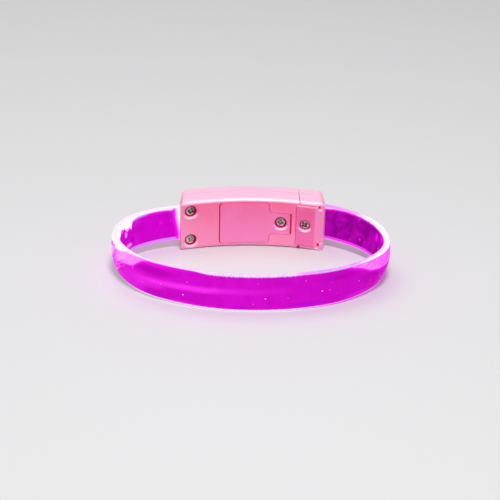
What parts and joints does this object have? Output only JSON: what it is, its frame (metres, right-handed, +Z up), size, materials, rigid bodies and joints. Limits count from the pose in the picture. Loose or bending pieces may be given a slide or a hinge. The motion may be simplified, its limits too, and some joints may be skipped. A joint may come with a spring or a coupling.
{
  "type": "led wristband",
  "caption": "Closed oval wristband of glossy translucent plastic with its two ends held in a small curved light case with screwed battery door and end cap.",
  "frame": {"origin": "centre of the box around the ring, on the surface that it lies on", "axes": "+X along the case's length towards its end cap, +Y from the front of the band to the case, +Z up, nearly along the axis of the wrist"},
  "size_m": [0.0778, 0.0504, 0.0158],
  "materials": {
    "glow_band": "glossy translucent, lit from its ends",
    "case_pink": "satin",
    "screw_steel": "satin"
  },
  "bodies": {
    "root": {"band": "glow_band", "outer_shell": "case_pink", "inner_shell": "case_pink", "battery_door": "case_pink", "cap_shell": "case_pink", "cap_plate": "case_pink", "case_screw_upper": "screw_steel", "case_screw_lower": "screw_steel", "door_screw": "screw_steel", "cap_screw": "screw_steel"}
  },
  "joints": []
}
